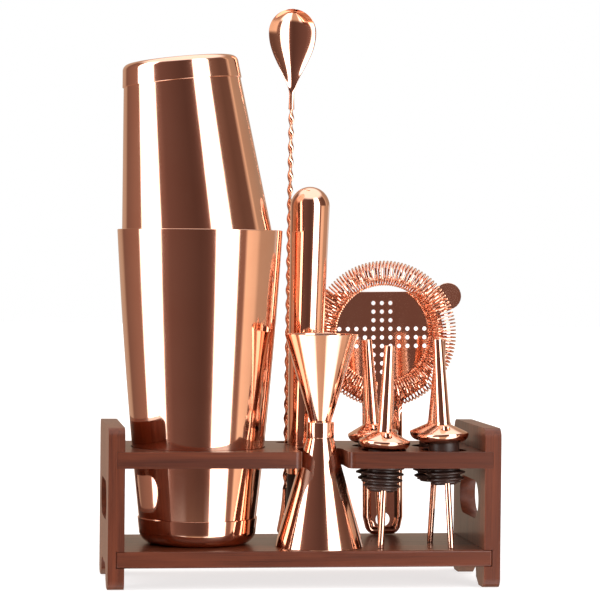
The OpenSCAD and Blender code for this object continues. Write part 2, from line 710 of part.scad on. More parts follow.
left_end_panel();
right_end_panel();
top_shelf();
bottom_shelf();
large_tin_shell();
large_tin_base_cap();
large_tin_weight();
small_tin_shell();
small_tin_base_cap();
small_tin_weight();
spoon_bowl();
spoon_stem();
spoon_drop();
muddler_handle();
muddler_head();
jigger_large_cup();
jigger_collar();
jigger_small_cup();
strainer_plate();
strainer_spring();
pourer_spout(POURERS[0]);  // pourer_1_spout
pourer_flange(POURERS[0]);  // pourer_1_flange
pourer_cork(POURERS[0]);  // pourer_1_cork
pourer_vent_tube(POURERS[0]);  // pourer_1_vent_tube
pourer_spout(POURERS[1]);  // pourer_2_spout
pourer_flange(POURERS[1]);  // pourer_2_flange
pourer_cork(POURERS[1]);  // pourer_2_cork
pourer_vent_tube(POURERS[1]);  // pourer_2_vent_tube
pourer_spout(POURERS[2]);  // pourer_3_spout
pourer_flange(POURERS[2]);  // pourer_3_flange
pourer_cork(POURERS[2]);  // pourer_3_cork
pourer_vent_tube(POURERS[2]);  // pourer_3_vent_tube
pourer_spout(POURERS[3]);  // pourer_4_spout
pourer_flange(POURERS[3]);  // pourer_4_flange
pourer_cork(POURERS[3]);  // pourer_4_cork
pourer_vent_tube(POURERS[3]);  // pourer_4_vent_tube
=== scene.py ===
"""Cocktail shaker set: builds the looks of each tool and of its wooden stand around the CAD frame."""

import json
import math

import bmesh
import bpy
from mathutils import Matrix, Vector

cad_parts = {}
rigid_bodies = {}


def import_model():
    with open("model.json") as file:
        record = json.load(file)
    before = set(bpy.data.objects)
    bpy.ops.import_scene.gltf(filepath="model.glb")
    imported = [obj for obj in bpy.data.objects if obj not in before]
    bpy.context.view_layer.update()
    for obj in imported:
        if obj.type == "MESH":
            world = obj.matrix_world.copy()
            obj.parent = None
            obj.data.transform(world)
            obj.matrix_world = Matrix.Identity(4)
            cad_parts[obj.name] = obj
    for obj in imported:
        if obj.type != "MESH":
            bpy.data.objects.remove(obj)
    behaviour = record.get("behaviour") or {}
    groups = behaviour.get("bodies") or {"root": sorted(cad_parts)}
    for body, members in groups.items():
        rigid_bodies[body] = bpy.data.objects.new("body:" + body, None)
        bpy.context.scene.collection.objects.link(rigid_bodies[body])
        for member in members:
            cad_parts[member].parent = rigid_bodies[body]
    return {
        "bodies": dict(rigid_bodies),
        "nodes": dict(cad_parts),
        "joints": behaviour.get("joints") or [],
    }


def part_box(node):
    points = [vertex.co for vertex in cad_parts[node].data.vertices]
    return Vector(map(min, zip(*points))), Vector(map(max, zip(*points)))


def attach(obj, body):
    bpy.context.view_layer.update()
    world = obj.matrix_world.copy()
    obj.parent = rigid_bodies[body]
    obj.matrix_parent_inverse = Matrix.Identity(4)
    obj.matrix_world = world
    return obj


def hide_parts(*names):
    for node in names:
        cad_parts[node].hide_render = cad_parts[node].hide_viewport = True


bl_info = {
    "name": "Cocktail Shaker Set",
    "version": (1, 0, 0),
    "blender": (4, 5, 0),
    "location": "View3D > Sidebar > Shaker Set",
    "description": "Builds a cocktail shaker set on its wooden stand around a packed CAD frame",
    "category": "Object",
}

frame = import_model()
MM = 0.001
DOWN, UP = -math.pi / 2, math.pi / 2
WELD = 1e-6  # points this close are one
ON_AXIS = 1e-7

# Slots, and the finishes that fill them
METAL, WOOD, RUBBER, NYLON = "rose_gold_steel", "walnut_board", "black_rubber", "black_nylon"
PLATING = "rose_gold_plating"
ALONG, UPRIGHT = "walnut_along", "walnut_upright"
CORK, HEAD, TURNED = "black_rubber_cork", "black_nylon_head", "turned_steel"

WIRE_SIDES = 7
CREASE = math.radians(32)  # a sharper edge than this stays sharp
SOFT_CREASE = math.radians(50)
CORK_TOP = 8.6 * MM  # radius of a pourer's cork where its flange sits
CAP_WALL = 0.6 * MM
CUP_WALL = 0.8 * MM
CUP_FLOOR = 2.5 * MM
HANDLE_HALF = 11.65 * MM  # half the width of the strainer's handle at its neck

# Where the camera stands and looks
CAMERA_PLACE = (-0.1793, -1.3537, 0.1759)
YAW, PITCH, ROLL = math.radians(7.59), math.radians(-0.78), math.radians(0.57)


# ---------- Settings ----------


def length(name, text, default):
    return bpy.props.FloatProperty(
        name=name, description=text, default=default, min=0.0, unit="LENGTH", precision=5
    )


def number(name, text, default, low=0.0):
    return bpy.props.FloatProperty(name=name, description=text, default=default, min=low, precision=4)


def colour(name, text, default):
    return bpy.props.FloatVectorProperty(
        name=name, description=text, default=default, size=3, subtype="COLOR", min=0.0, max=1.0
    )


class StandSettings(bpy.types.PropertyGroup):
    edge: length("Edge", "How far the boards' edges are rounded over", 0.9 * MM)
    light_wood: colour("Light wood", "Colour of the pale growth rings", (0.165, 0.036, 0.0125))
    dark_wood: colour("Dark wood", "Colour of the dark growth rings", (0.070, 0.014, 0.005))


class TinSettings(bpy.types.PropertyGroup):
    wall: length("Wall", "Thickness of the tins' walls", 0.7 * MM)
    bow: length("Bow", "How far the large tin's side bows outwards", 1.1 * MM)
    cap_step: length("Cap step", "How far a base cap stands proud of its tin's side", 0.65 * MM)
    large_corner: length("Large cap corner", "Corner radius of the large tin's base cap", 8 * MM)
    small_corner: length("Small cap corner", "Corner radius of the small tin's cap", 4 * MM)


class SpoonSettings(bpy.types.PropertyGroup):
    bowl_depth: length("Bowl depth", "How deep the bowl is dished", 6 * MM)
    bowl_sheet: length("Bowl thickness", "Thickness of the bowl's metal", 1.2 * MM)
    neck: length("Neck width", "Width of the slim neck under the bowl", 2.7 * MM)
    flatness: number("Stem flatness", "Thickness of the stem's bar over its width", 0.5)
    twist: length("Twist pitch", "Length of one whole turn of the twisted stem", 16.4 * MM)


class StrainerSettings(bpy.types.PropertyGroup):
    turns: bpy.props.IntProperty(
        name="Turns", description="Number of turns of the spring", default=118, min=20
    )
    wire: length("Wire", "Diameter of the spring's wire", 0.95 * MM)
    pore: length("Hole", "Diameter of each hole in the plate", 2.5 * MM)
    pitch: length("Hole spacing", "Distance between the plate's holes", 5 * MM)
    bead: length("Bead width", "Width of the bead pressed round the handle", 4.6 * MM)


class MetalSettings(bpy.types.PropertyGroup):
    tint: colour("Metal", "Colour of the rose-gold plating", (0.940, 0.580, 0.430))
    shade: colour("Metal shade", "Colour of the plating where it is a little darker", (0.900, 0.530, 0.385))


class StudioSettings(bpy.types.PropertyGroup):
    lens: number("Lens", "Focal length of the camera in millimetres", 145.74, 1.0)
    softbox: number("Softbox", "Strength of the two side softboxes", 5.0)
    top_light: number("Top light", "Strength of the light overhead", 1.5)
    dark: number("Dark side", "Strength of the dim room behind the camera", 0.12)


class ShakerSetSettings(bpy.types.PropertyGroup):
    stand: bpy.props.PointerProperty(type=StandSettings)
    tins: bpy.props.PointerProperty(type=TinSettings)
    spoon: bpy.props.PointerProperty(type=SpoonSettings)
    strainer: bpy.props.PointerProperty(type=StrainerSettings)
    metal: bpy.props.PointerProperty(type=MetalSettings)
    studio: bpy.props.PointerProperty(type=StudioSettings)


# ---------- Node trees ----------


def feed(tree, socket, value):
    """Links value to socket when it is an output, and writes it on the socket otherwise."""
    if isinstance(value, bpy.types.NodeSocket):
        tree.links.new(value, socket)
    elif value is not None:
        socket.default_value = value


def feed_all(tree, node, inputs):
    for key, value in inputs.items():
        feed(tree, node.inputs[key], value)


def add(tree, kind, inputs=None, **props):
    """A new node, its properties set and its inputs fed by name or place."""
    node = tree.nodes.new(kind)
    for key, value in props.items():
        setattr(node, key, value)
    feed_all(tree, node, inputs or {})
    return node


def calc(tree, operation, a, b=None, c=None):
    node = tree.nodes.new("ShaderNodeMath")
    node.operation = operation
    for socket, value in zip(node.inputs, (a, b, c)):
        feed(tree, socket, value)
    return node.outputs[0]


def ramp(tree, value, stops, smooth=False):
    """A colour ramp through (place, colour) stops. A colour may be one grey level."""
    node = tree.nodes.new("ShaderNodeValToRGB")
    node.color_ramp.interpolation = "EASE" if smooth else "LINEAR"
    points = node.color_ramp.elements
    while len(points) < len(stops):
        points.new(0.5)
    for point, (place, shade) in zip(points, stops):
        point.position = place
        point.color = (*shade, 1) if isinstance(shade, tuple) else (shade, shade, shade, 1)
    feed(tree, node.inputs["Fac"], value)
    return node.outputs["Color"]


def blend_colours(tree, factor, a, b, mode="MIX"):
    node = tree.nodes.new("ShaderNodeMix")
    node.data_type = "RGBA"
    node.blend_type = mode
    feed(tree, node.inputs["Factor"], factor)
    feed(tree, node.inputs[6], (*a, 1) if isinstance(a, tuple) else a)
    feed(tree, node.inputs[7], (*b, 1) if isinstance(b, tuple) else b)
    return node.outputs[2]


def surface(name):
    """A new material: its tree, its Principled shader and the object coordinates."""
    material = bpy.data.materials.new(name)
    material.use_nodes = True
    tree = material.node_tree
    shader = tree.nodes["Principled BSDF"]
    place = add(tree, "ShaderNodeTexCoord").outputs["Object"]
    return material, tree, shader, place


def stretched(tree, place, scale):
    return add(tree, "ShaderNodeMapping", {"Vector": place, "Scale": scale}).outputs[0]


def noise(tree, vector, scale, detail=3.0, rough=0.5):
    node = add(tree, "ShaderNodeTexNoise",
               {"Vector": vector, "Scale": scale, "Detail": detail, "Roughness": rough})
    return node.outputs["Fac"]


def bumped(tree, shader, height, strength, distance):
    node = add(tree, "ShaderNodeBump", {"Height": height, "Strength": strength, "Distance": distance})
    feed(tree, shader.inputs["Normal"], node.outputs[0])


def geometry_tree(name, numbers, counts=(), shapes=()):
    """An empty geometry tree with named inputs, and the outputs that give their values."""
    tree = bpy.data.node_groups.new(name, "GeometryNodeTree")
    kinds = (("Geometry", shapes), ("Float", numbers), ("Int", counts), ("Material", ("Finish",)))
    for kind, names in kinds:
        for label in names:
            tree.interface.new_socket(label, in_out="INPUT", socket_type="NodeSocket" + kind)
    tree.interface.new_socket("Geometry", in_out="OUTPUT", socket_type="NodeSocketGeometry")
    return tree, add(tree, "NodeGroupInput").outputs


def finish_tree(tree, geometry, material):
    """Ends a geometry tree: its copies are made real and get their material."""
    real = add(tree, "GeometryNodeRealizeInstances", {"Geometry": geometry})
    painted = add(tree, "GeometryNodeSetMaterial", {"Geometry": real.outputs[0], "Material": material})
    add(tree, "NodeGroupOutput", {0: painted.outputs[0]})
    return tree


def joined(tree, *parts):
    node = add(tree, "GeometryNodeJoinGeometry")
    for part in parts:
        tree.links.new(part, node.inputs[0])
    return node.outputs[0]


# ---------- Materials ----------


def rose_gold(settings):
    """Bright plating, a little cloudy and wiped along its length."""
    material, tree, shader, place = surface(PLATING)
    cloud = noise(tree, place, 22.0, 4.0, 0.6)
    tone = ramp(tree, cloud, [(0.35, tuple(settings.metal.shade)), (0.62, tuple(settings.metal.tint))])
    wipe = noise(tree, stretched(tree, place, (1.0, 1.0, 0.25)), 60.0, 6.0, 0.65)
    gloss = ramp(tree, wipe, [(0.30, 0.045), (0.72, 0.115)])
    feed_all(tree, shader, {"Base Color": tone, "Metallic": 1.0, "Roughness": gloss})
    swirl = noise(tree, stretched(tree, place, (1.0, 1.0, 0.12)), 55.0, 2.0)
    bumped(tree, shader, swirl, 0.10, 0.00025)
    return material


def walnut(settings, name, grain):
    """Stained wood whose grain runs along the axis numbered grain."""
    material, tree, shader, place = surface(name)
    along = [1.0, 1.0, 1.0]
    along[grain] = 0.06
    fibre_scale = [1.0, 1.0, 1.0]
    fibre_scale[grain] = 0.012
    sway = noise(tree, stretched(tree, place, along), 38.0, 3.0)
    rings = add(tree, "ShaderNodeTexNoise", {
        "Vector": stretched(tree, place, along), "Scale": 150.0, "Detail": 5.0,
        "Roughness": 0.6, "Distortion": 1.2})
    fibre = noise(tree, stretched(tree, place, fibre_scale), 1500.0, 3.0, 0.7)
    figure = calc(tree, "ADD", calc(tree, "MULTIPLY", rings.outputs["Fac"], 0.6),
                  calc(tree, "MULTIPLY", sway, 0.4))
    stand = settings.stand
    tone = ramp(tree, figure, [(0.34, tuple(stand.dark_wood)), (0.66, tuple(stand.light_wood))])
    pores = ramp(tree, fibre, [(0.30, 0.45), (0.50, 1.0)])
    feed_all(tree, shader, {
        "Base Color": blend_colours(tree, 0.65, tone, pores, "MULTIPLY"),
        "Roughness": ramp(tree, fibre, [(0.2, 0.52), (0.8, 0.36)]),
        "Specular IOR Level": 0.2, "Coat Weight": 0.4, "Coat Roughness": 0.2})
    bumped(tree, shader, fibre, 0.35, 0.00018)
    return material


def moulded_black(name, tone, gloss_low, gloss_high, grain):
    """A black moulding with a fine grain."""
    material, tree, shader, place = surface(name)
    cloud = noise(tree, place, 60.0, 4.0)
    dark = tuple(0.7 * c for c in tone)
    feed_all(tree, shader, {
        "Base Color": ramp(tree, cloud, [(0.35, dark), (0.65, tone)]),
        "Roughness": ramp(tree, cloud, [(0.3, gloss_low), (0.7, gloss_high)])})
    bumped(tree, shader, noise(tree, place, grain, 3.0), 0.25, 0.0001)
    return material


def turned_steel():
    """Plain turned steel for the weights inside the tins' caps."""
    material, tree, shader, place = surface(TURNED)
    swirl = noise(tree, stretched(tree, place, (1.0, 1.0, 6.0)), 300.0, 3.0)
    feed_all(tree, shader, {
        "Base Color": ramp(tree, swirl, [(0.3, 0.32), (0.7, 0.45)]), "Metallic": 1.0,
        "Roughness": ramp(tree, swirl, [(0.3, 0.3), (0.7, 0.45)])})
    return material


def finish(name):
    """The material called name, made the first time that it is asked for."""
    settings = bpy.context.scene.shaker_set
    makers = {
        PLATING: lambda: rose_gold(settings),
        ALONG: lambda: walnut(settings, ALONG, 0),
        UPRIGHT: lambda: walnut(settings, UPRIGHT, 2),
        CORK: lambda: moulded_black(CORK, (0.052, 0.022, 0.015), 0.34, 0.5, 1800.0),
        HEAD: lambda: moulded_black(HEAD, (0.034, 0.020, 0.016), 0.4, 0.55, 2600.0),
        TURNED: turned_steel,
    }
    return bpy.data.materials.get(name) or makers[name]()


# ---------- Meshes ----------


def outline(*corners):
    """A half section in (radius, height) pairs. A corner given a third number is rounded by it."""
    points = []
    for i, corner in enumerate(corners):
        if len(corner) == 2:
            points.append(Vector(corner))
            continue
        here = Vector(corner[:2])
        to_last = Vector(corners[i - 1][:2]) - here
        to_next = Vector(corners[i + 1][:2]) - here
        half = to_last.angle(to_next) / 2
        back = min(corner[2] / math.tan(half), 0.49 * to_last.length, 0.49 * to_next.length)
        start, end = here + to_last.normalized() * back, here + to_next.normalized() * back
        steps = 5
        points += [
            (1 - t) ** 2 * start + 2 * t * (1 - t) * here + t ** 2 * end
            for t in (k / steps for k in range(steps + 1))
        ]
    return [(p.x, p.y) for p in points]


def arc(centre_r, centre_z, radius, start, end, steps):
    angles = (start + (end - start) * i / steps for i in range(steps + 1))
    return [(centre_r + radius * math.cos(a), centre_z + radius * math.sin(a)) for a in angles]


def bridge(mesh, low, high):
    """Faces between two loops of points. A loop of one point makes a tip."""
    count = max(len(low), len(high))
    for i in range(count):
        j = (i + 1) % count
        if len(low) == 1:
            mesh.faces.new((low[0], high[i], high[j]))
        elif len(high) == 1:
            mesh.faces.new((low[i], high[0], low[j]))
        else:
            mesh.faces.new((low[i], low[j], high[j], high[i]))


def loft(rows, place):
    """Joins closed loops of points into a tube. A row of one point ends it in a tip, else it is capped."""
    mesh = bmesh.new()
    loops = [[mesh.verts.new(place @ Vector(p)) for p in row] for row in rows]
    for low, high in zip(loops, loops[1:]):
        bridge(mesh, low, high)
    for end in (loops[0], loops[-1]):
        if len(end) > 2:
            mesh.faces.new(end)
    return mesh


def lathe(section, place, sides):
    """Turns a half section round Z. The section starts and ends on the axis."""
    turn = [math.tau * i / sides for i in range(sides)]
    return loft([
        [(radius * math.cos(a), radius * math.sin(a), height) for a in turn]
        if radius > ON_AXIS else [(0, 0, height)] for radius, height in section
    ], place)


def shade(mesh, crease):
    """Points faces outwards, and keeps edges sharper than crease sharp."""
    bmesh.ops.recalc_face_normals(mesh, faces=mesh.faces)
    for face in mesh.faces:
        face.smooth = True
    for edge in mesh.edges:
        edge.smooth = len(edge.link_faces) != 2 or edge.calc_face_angle(0.0) < crease


def settled(name, mesh):
    """Writes mesh to a new mesh datablock, and frees it."""
    data = bpy.data.meshes.new(name)
    mesh.to_mesh(data)
    mesh.free()
    return data


def placed(name, data):
    obj = bpy.data.objects.new(name, data)
    bpy.context.collection.objects.link(obj)
    return obj


def piece(name, mesh, body, nodes, slot=METAL, material=PLATING, crease=CREASE):
    """Makes an object of mesh that rides on body and stands for the CAD nodes."""
    shade(mesh, crease)
    obj = placed(name, settled(name, mesh))
    obj.data.materials.append(finish(material))
    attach(obj, body)
    if nodes:
        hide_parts(*nodes)
    return obj


def turned(name, section, place, body, nodes, sides=128, **look):
    """A piece whose half section is turned round its own axis."""
    return piece(name, lathe(section, place, sides), body, nodes, **look)


def cutter(section, place, sides):
    """A plain turned mesh for cutting a hole."""
    mesh = lathe(section, place, sides)
    shade(mesh, 1.0)
    return settled("cutter", mesh)


def applied(obj):
    """Bakes obj's modifiers into a plain mesh and removes them."""
    bpy.context.view_layer.update()
    depsgraph = bpy.context.evaluated_depsgraph_get()
    data = bpy.data.meshes.new_from_object(obj.evaluated_get(depsgraph), depsgraph=depsgraph)
    obj.modifiers.clear()
    obj.data = data
    return obj


def round_edges(obj, width, segments, sharper_than):
    bevel = obj.modifiers.new("rounded edge", "BEVEL")
    bevel.width, bevel.segments = width, segments
    bevel.limit_method, bevel.angle_limit = "ANGLE", sharper_than
    applied(obj)


def grown(name, tree, start, values):
    """Runs a geometry tree on the mesh start with the named input values, and returns the plain mesh."""
    obj = placed(name, start)
    modifier = obj.modifiers.new(name, "NODES")
    modifier.node_group = tree
    for item in tree.interface.items_tree:
        if getattr(item, "in_out", "") == "INPUT" and item.name in values:
            modifier[item.identifier] = values[item.name]
    data = applied(obj).data
    bpy.data.objects.remove(obj)
    return data


def local_box(node, turn):
    """Lowest and highest corner of a CAD node in a frame turned by turn about the origin."""
    back = turn.inverted()
    points = [back @ v.co for v in frame["nodes"][node].data.vertices]
    low = Vector(min(p[i] for p in points) for i in range(3))
    high = Vector(max(p[i] for p in points) for i in range(3))
    return low, high


def joint_turn(name):
    """The turn that leans a piece from upright to its joint's axis."""
    axis = Vector(next(j["axis"] for j in frame["joints"] if j["name"] == name))
    along, across = math.atan2(axis.x, axis.z), -math.asin(axis.y)
    return Matrix.Rotation(along, 4, "Y") @ Matrix.Rotation(across, 4, "X")


def seat(node, turn):
    """Where a turned piece's own frame sits: on its axis, at the foot of node. Its radius and length too."""
    low, high = local_box(node, turn)
    foot = Vector(((low.x + high.x) / 2, (low.y + high.y) / 2, low.z))
    return turn @ Matrix.Translation(foot), (high.x - low.x) / 2, high.z - low.z


# ---------- Stand ----------


class SHAKER_OT_stand(bpy.types.Operator):
    """Round the edges of the stand's four boards and give them their wood"""

    bl_idname = "shaker_set.stand"
    bl_label = "Stand"

    def execute(self, context):
        edge = context.scene.shaker_set.stand.edge
        for node, wood in (("left_end_panel", UPRIGHT), ("right_end_panel", UPRIGHT),
                           ("top_shelf", ALONG), ("bottom_shelf", ALONG)):
            self.soften(node, edge, wood)
        return {"FINISHED"}

    def soften(self, node, edge, wood):
        mesh = bmesh.new()
        mesh.from_mesh(frame["nodes"][node].data)
        bmesh.ops.remove_doubles(mesh, verts=mesh.verts, dist=WELD)
        bmesh.ops.dissolve_limit(mesh, angle_limit=math.radians(1), verts=mesh.verts, edges=mesh.edges)
        board = piece(node + "_board", mesh, "stand", [node], WOOD, wood)
        round_edges(board, edge, 3, math.radians(40))


# ---------- Tins ----------


def tin_section(length, cap_height, waist, rim, bow, wall):
    """Half section of a tin's shell, floor to rim and back. Heights run from the foot of its cap."""
    floor, foot_edge, steps = 6 * MM, 2.5 * MM, 40

    def side(height):
        t = (height - cap_height) / (length - cap_height)
        return waist + (rim - waist) * t + 4 * bow * t * (1 - t)

    low = floor + foot_edge
    heights = [low + (length - wall / 2 - low) * i / steps for i in range(steps + 1)]
    outer = [(side(height), height) for height in heights]
    lip = arc(side(length) - wall / 2, length - wall / 2, wall / 2, 0, math.pi, 8)
    inner = [(r - wall, z) for r, z in reversed(outer)]
    foot = side(floor) - foot_edge
    return ([(0, floor)] + arc(foot, low, foot_edge, DOWN, 0, 6)[:-1] + outer + lip[1:-1] + inner
            + arc(foot, low, foot_edge - wall, 0, DOWN, 6)[1:] + [(0, floor + wall)])


def cap_section(height, foot, top, corner, step, wall=CAP_WALL, gap=0.05 * MM):
    """Half section of a base cap: a shallow cup whose rim has a small rounded edge."""
    centre = foot - corner
    inner = top - (step - gap)
    rim = outline((foot, corner), (top, height, 0.25 * MM), (inner, height, 0.1 * MM), (inner, corner))
    return ([(0, 0)] + arc(centre, corner, corner, DOWN, 0, 14) + rim[1:-1]
            + arc(centre, corner, corner - wall, 0, DOWN, 8) + [(0, wall)])


class SHAKER_OT_tins(bpy.types.Operator):
    """Build the large tin and the small tin that is upturned in it"""

    bl_idname = "shaker_set.tins"
    bl_label = "Tins"

    def execute(self, context):
        tins = context.scene.shaker_set.tins
        low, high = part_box("large_tin_shell")
        centre = (low + high) / 2
        cap_low, cap_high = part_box("large_tin_base_cap")
        upright = Matrix.Translation((centre.x, centre.y, cap_low.z))
        self.tin("large", upright, high.z - cap_low.z, cap_high.z - cap_low.z,
                 (cap_high.x - cap_low.x) / 2, (high.x - low.x) / 2, tins.bow, tins.large_corner, tins)

        low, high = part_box("small_tin_shell")
        rim = (high.y - low.y) / 2
        disc_low, disc_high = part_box("small_tin_weight")
        disc = (disc_low + disc_high) / 2
        lean = 0.0
        for _ in range(6):  # the lean moves the mouth's lowest point, so it is closed in on
            lean = math.atan2(centre.x - disc.x, disc.z - low.z - rim * math.sin(lean))
        mouth = Vector((centre.x, centre.y, low.z + rim * math.sin(lean)))
        turn = Matrix.Rotation(-lean, 4, "Y")
        _, _, disc_height = seat("small_tin_weight", turn)
        disc_middle = CAP_WALL + disc_height / 2
        full = (disc - mouth).length + disc_middle
        inverted = (Matrix.Translation(mouth) @ turn @ Matrix.Translation((0, 0, full))
                    @ Matrix.Rotation(math.pi, 4, "X"))
        _, cap_radius, cap_height = seat("small_tin_base_cap", turn)
        self.tin("small", inverted, full, cap_height, cap_radius, rim, 0.0, tins.small_corner, tins)
        return {"FINISHED"}

    def tin(self, name, place, full, cap_height, cap_radius, rim, bow, corner, tins):
        body = name + "_tin"
        waist = cap_radius - tins.cap_step
        shell = tin_section(full, cap_height, waist, rim, bow, tins.wall)
        turned(body + "_wall", shell, place, body, [body + "_shell"], 160)
        t = (corner - cap_height) / (full - cap_height)
        foot = waist + (rim - waist) * t + 4 * bow * t * (1 - t) + tins.cap_step
        cap = cap_section(cap_height, foot, cap_radius, corner, tins.cap_step)
        turned(body + "_foot_cap", cap, place, body, [body + "_base_cap"], 160)
        weight = frame["nodes"][body + "_weight"]
        weight.data.materials.clear()
        weight.data.materials.append(finish(TURNED))


# ---------- Bar spoon ----------


def twist_tree():
    """Geometry tree of a flattened bar, twisted along its length."""
    tree, given = geometry_tree("Twisted Stem", ("Length", "Radius", "Flatness", "Pitch"), ("Rows",))
    end = add(tree, "ShaderNodeCombineXYZ", {"Z": given["Length"]})
    line = add(tree, "GeometryNodeCurvePrimitiveLine", {"End": end.outputs[0]})
    path = add(tree, "GeometryNodeResampleCurve", {"Curve": line.outputs[0], "Count": given["Rows"]})
    factor = add(tree, "GeometryNodeSplineParameter").outputs["Factor"]
    turns = calc(tree, "DIVIDE", given["Length"], given["Pitch"])
    angle = calc(tree, "MULTIPLY", calc(tree, "MULTIPLY", factor, turns), math.tau)
    tilted = add(tree, "GeometryNodeSetCurveTilt", {"Curve": path.outputs[0], "Tilt": angle})
    ring = add(tree, "GeometryNodeCurvePrimitiveCircle", {"Resolution": 24, "Radius": 1.0})
    thin = calc(tree, "MULTIPLY", given["Radius"], given["Flatness"])
    sides = add(tree, "ShaderNodeCombineXYZ", {"X": given["Radius"], "Y": thin})
    squeezed = add(tree, "ShaderNodeVectorMath",
                   {0: add(tree, "GeometryNodeInputPosition").outputs[0], 1: sides.outputs[0]},
                   operation="MULTIPLY")
    shaped = add(tree, "GeometryNodeSetPosition",
                 {"Geometry": ring.outputs[0], "Position": squeezed.outputs[0]})
    bar = add(tree, "GeometryNodeCurveToMesh",
              {"Curve": tilted.outputs[0], "Profile Curve": shaped.outputs[0], "Fill Caps": True})
    return finish_tree(tree, bar.outputs[0], given["Finish"])


def from_tree(name, tree, values, place, body, nodes, start=None):
    """A metal piece grown by a geometry tree and put in place."""
    data = grown(name, tree, start or bpy.data.meshes.new(name), values)
    mesh = bmesh.new()
    mesh.from_mesh(data)
    mesh.transform(place)
    return piece(name, mesh, body, nodes)


class SHAKER_OT_bar_spoon(bpy.types.Operator):
    """Build the bar spoon: dished bowl, twisted stem and weighted drop"""

    bl_idname = "shaker_set.bar_spoon"
    bl_label = "Bar spoon"

    def execute(self, context):
        spoon = context.scene.shaker_set.spoon
        turn = joint_turn("bar_spoon_lift")
        place, radius, rise = seat("spoon_stem", turn)
        rows_per_turn = 28
        values = {
            "Length": rise, "Radius": radius, "Flatness": spoon.flatness, "Pitch": spoon.twist,
            "Rows": int(rise / spoon.twist * rows_per_turn), "Finish": finish(PLATING),
        }
        from_tree("twisted_stem", twist_tree(), values, place, "bar_spoon", ["spoon_stem"])
        self.bowl(spoon, turn, place @ Matrix.Translation((0, 0, rise)), radius)
        self.drop(turn)
        return {"FINISHED"}

    def bowl(self, spoon, turn, place, stem):
        """An egg-shaped bowl that grows out of the round stem through a long soft taper."""
        low, high = local_box("spoon_bowl", turn)
        wide, rise = (high.x - low.x) / 2, high.z - low.z
        neck, flat_at = 8 * MM, 7 * MM
        taper = rise - neck - wide
        slim = spoon.neck / 2
        steps, round_steps = 56, 30
        heights = [neck * i / 4 for i in range(4)] + [neck + taper * i / steps for i in range(steps)]
        heights += [neck + taper + wide * math.sin(UP * i / round_steps) for i in range(round_steps)]
        rows = []
        for v in heights:
            if v < neck:
                half = stem + (slim - stem) * v / neck
            elif v < neck + taper:
                half = slim + (wide - slim) * math.sin(UP * ((v - neck) / taper) ** 0.87) ** 2
            else:
                half = math.sqrt(max(wide ** 2 - (v - neck - taper) ** 2, 0))
            flat = min(v / flat_at, 1.0)
            thick = 2 * stem + (spoon.bowl_sheet - 2 * stem) * flat * flat * (3 - 2 * flat)
            open_out = max(half - slim, 0) / (wide - slim)
            dish = spoon.bowl_depth * open_out * (1.35 - 0.35 * open_out)
            rows.append(self.ring(half, dish, thick, 1.0 - 0.55 * min(open_out * 3, 1.0), v))
        rows.append([(0, 0, rise)])
        piece("dished_bowl", loft(rows, place), "bar_spoon", ["spoon_bowl"], crease=math.radians(80))

    def ring(self, half, dish, thick, power, height, count=56):
        """One level section of the bowl: a curved leaf. A power of 1 rounds its ends, less squares them."""
        points = []
        for i in range(count):
            a = math.tau * i / count
            u, s = math.cos(a), math.sin(a)
            off = math.copysign(abs(s) ** power, s) * thick / 2
            points.append((half * u, dish * (1 - u * u) + off, height))
        return points

    def drop(self, turn):
        place, widest, rise = seat("spoon_drop", turn)
        belly, thin = widest * 0.8, 1.6 * MM
        foot = [(widest * math.sin(a), belly * (1 - math.cos(a))) for a in (UP * i / 10 for i in range(10))]
        side = [(thin + (widest - thin) * (1 - t) ** 1.6, belly + (rise - belly) * t)
                for t in (i / 24 for i in range(25))]
        turned("weighted_drop", foot + side + [(0, rise)], place, "bar_spoon", ["spoon_drop"], 64,
               crease=SOFT_CREASE)


# ---------- Muddler ----------


class SHAKER_OT_muddler(bpy.types.Operator):
    """Build the muddler: tapered metal handle with a domed top, and a black moulded head"""

    bl_idname = "shaker_set.muddler"
    bl_label = "Muddler"

    def execute(self, context):
        turn = joint_turn("muddler_lift")
        place, top_radius, rise = seat("muddler_handle", turn)
        head_place, neck_radius, _ = seat("muddler_head", turn)
        tall = (head_place.inverted() @ place).translation.z  # the head's length below the handle
        dome_foot, edge, seam = rise - top_radius, 1.2 * MM, 0.25 * MM
        section = outline((0, 0), (neck_radius, 0, 0.5 * MM), (neck_radius, 10 * MM))[:-1]
        section += [(neck_radius + (top_radius - neck_radius) * t, dome_foot * t)
                    for t in (i / 12 for i in range(1, 12))]
        section += arc(0, dome_foot, top_radius, 0, UP, 24)[:-1] + [(0, rise)]
        turned("tapered_handle", section, place, "muddler", ["muddler_handle"], crease=SOFT_CREASE)
        section = outline((0, 0), (neck_radius, 0, edge), (neck_radius, tall - edge),
                          (neck_radius - seam, tall - edge / 2), (neck_radius - seam, tall), (0, tall))
        turned("moulded_head", section, head_place, "muddler", ["muddler_head"], 96,
               slot=NYLON, material=HEAD)
        return {"FINISHED"}


# ---------- Jigger ----------


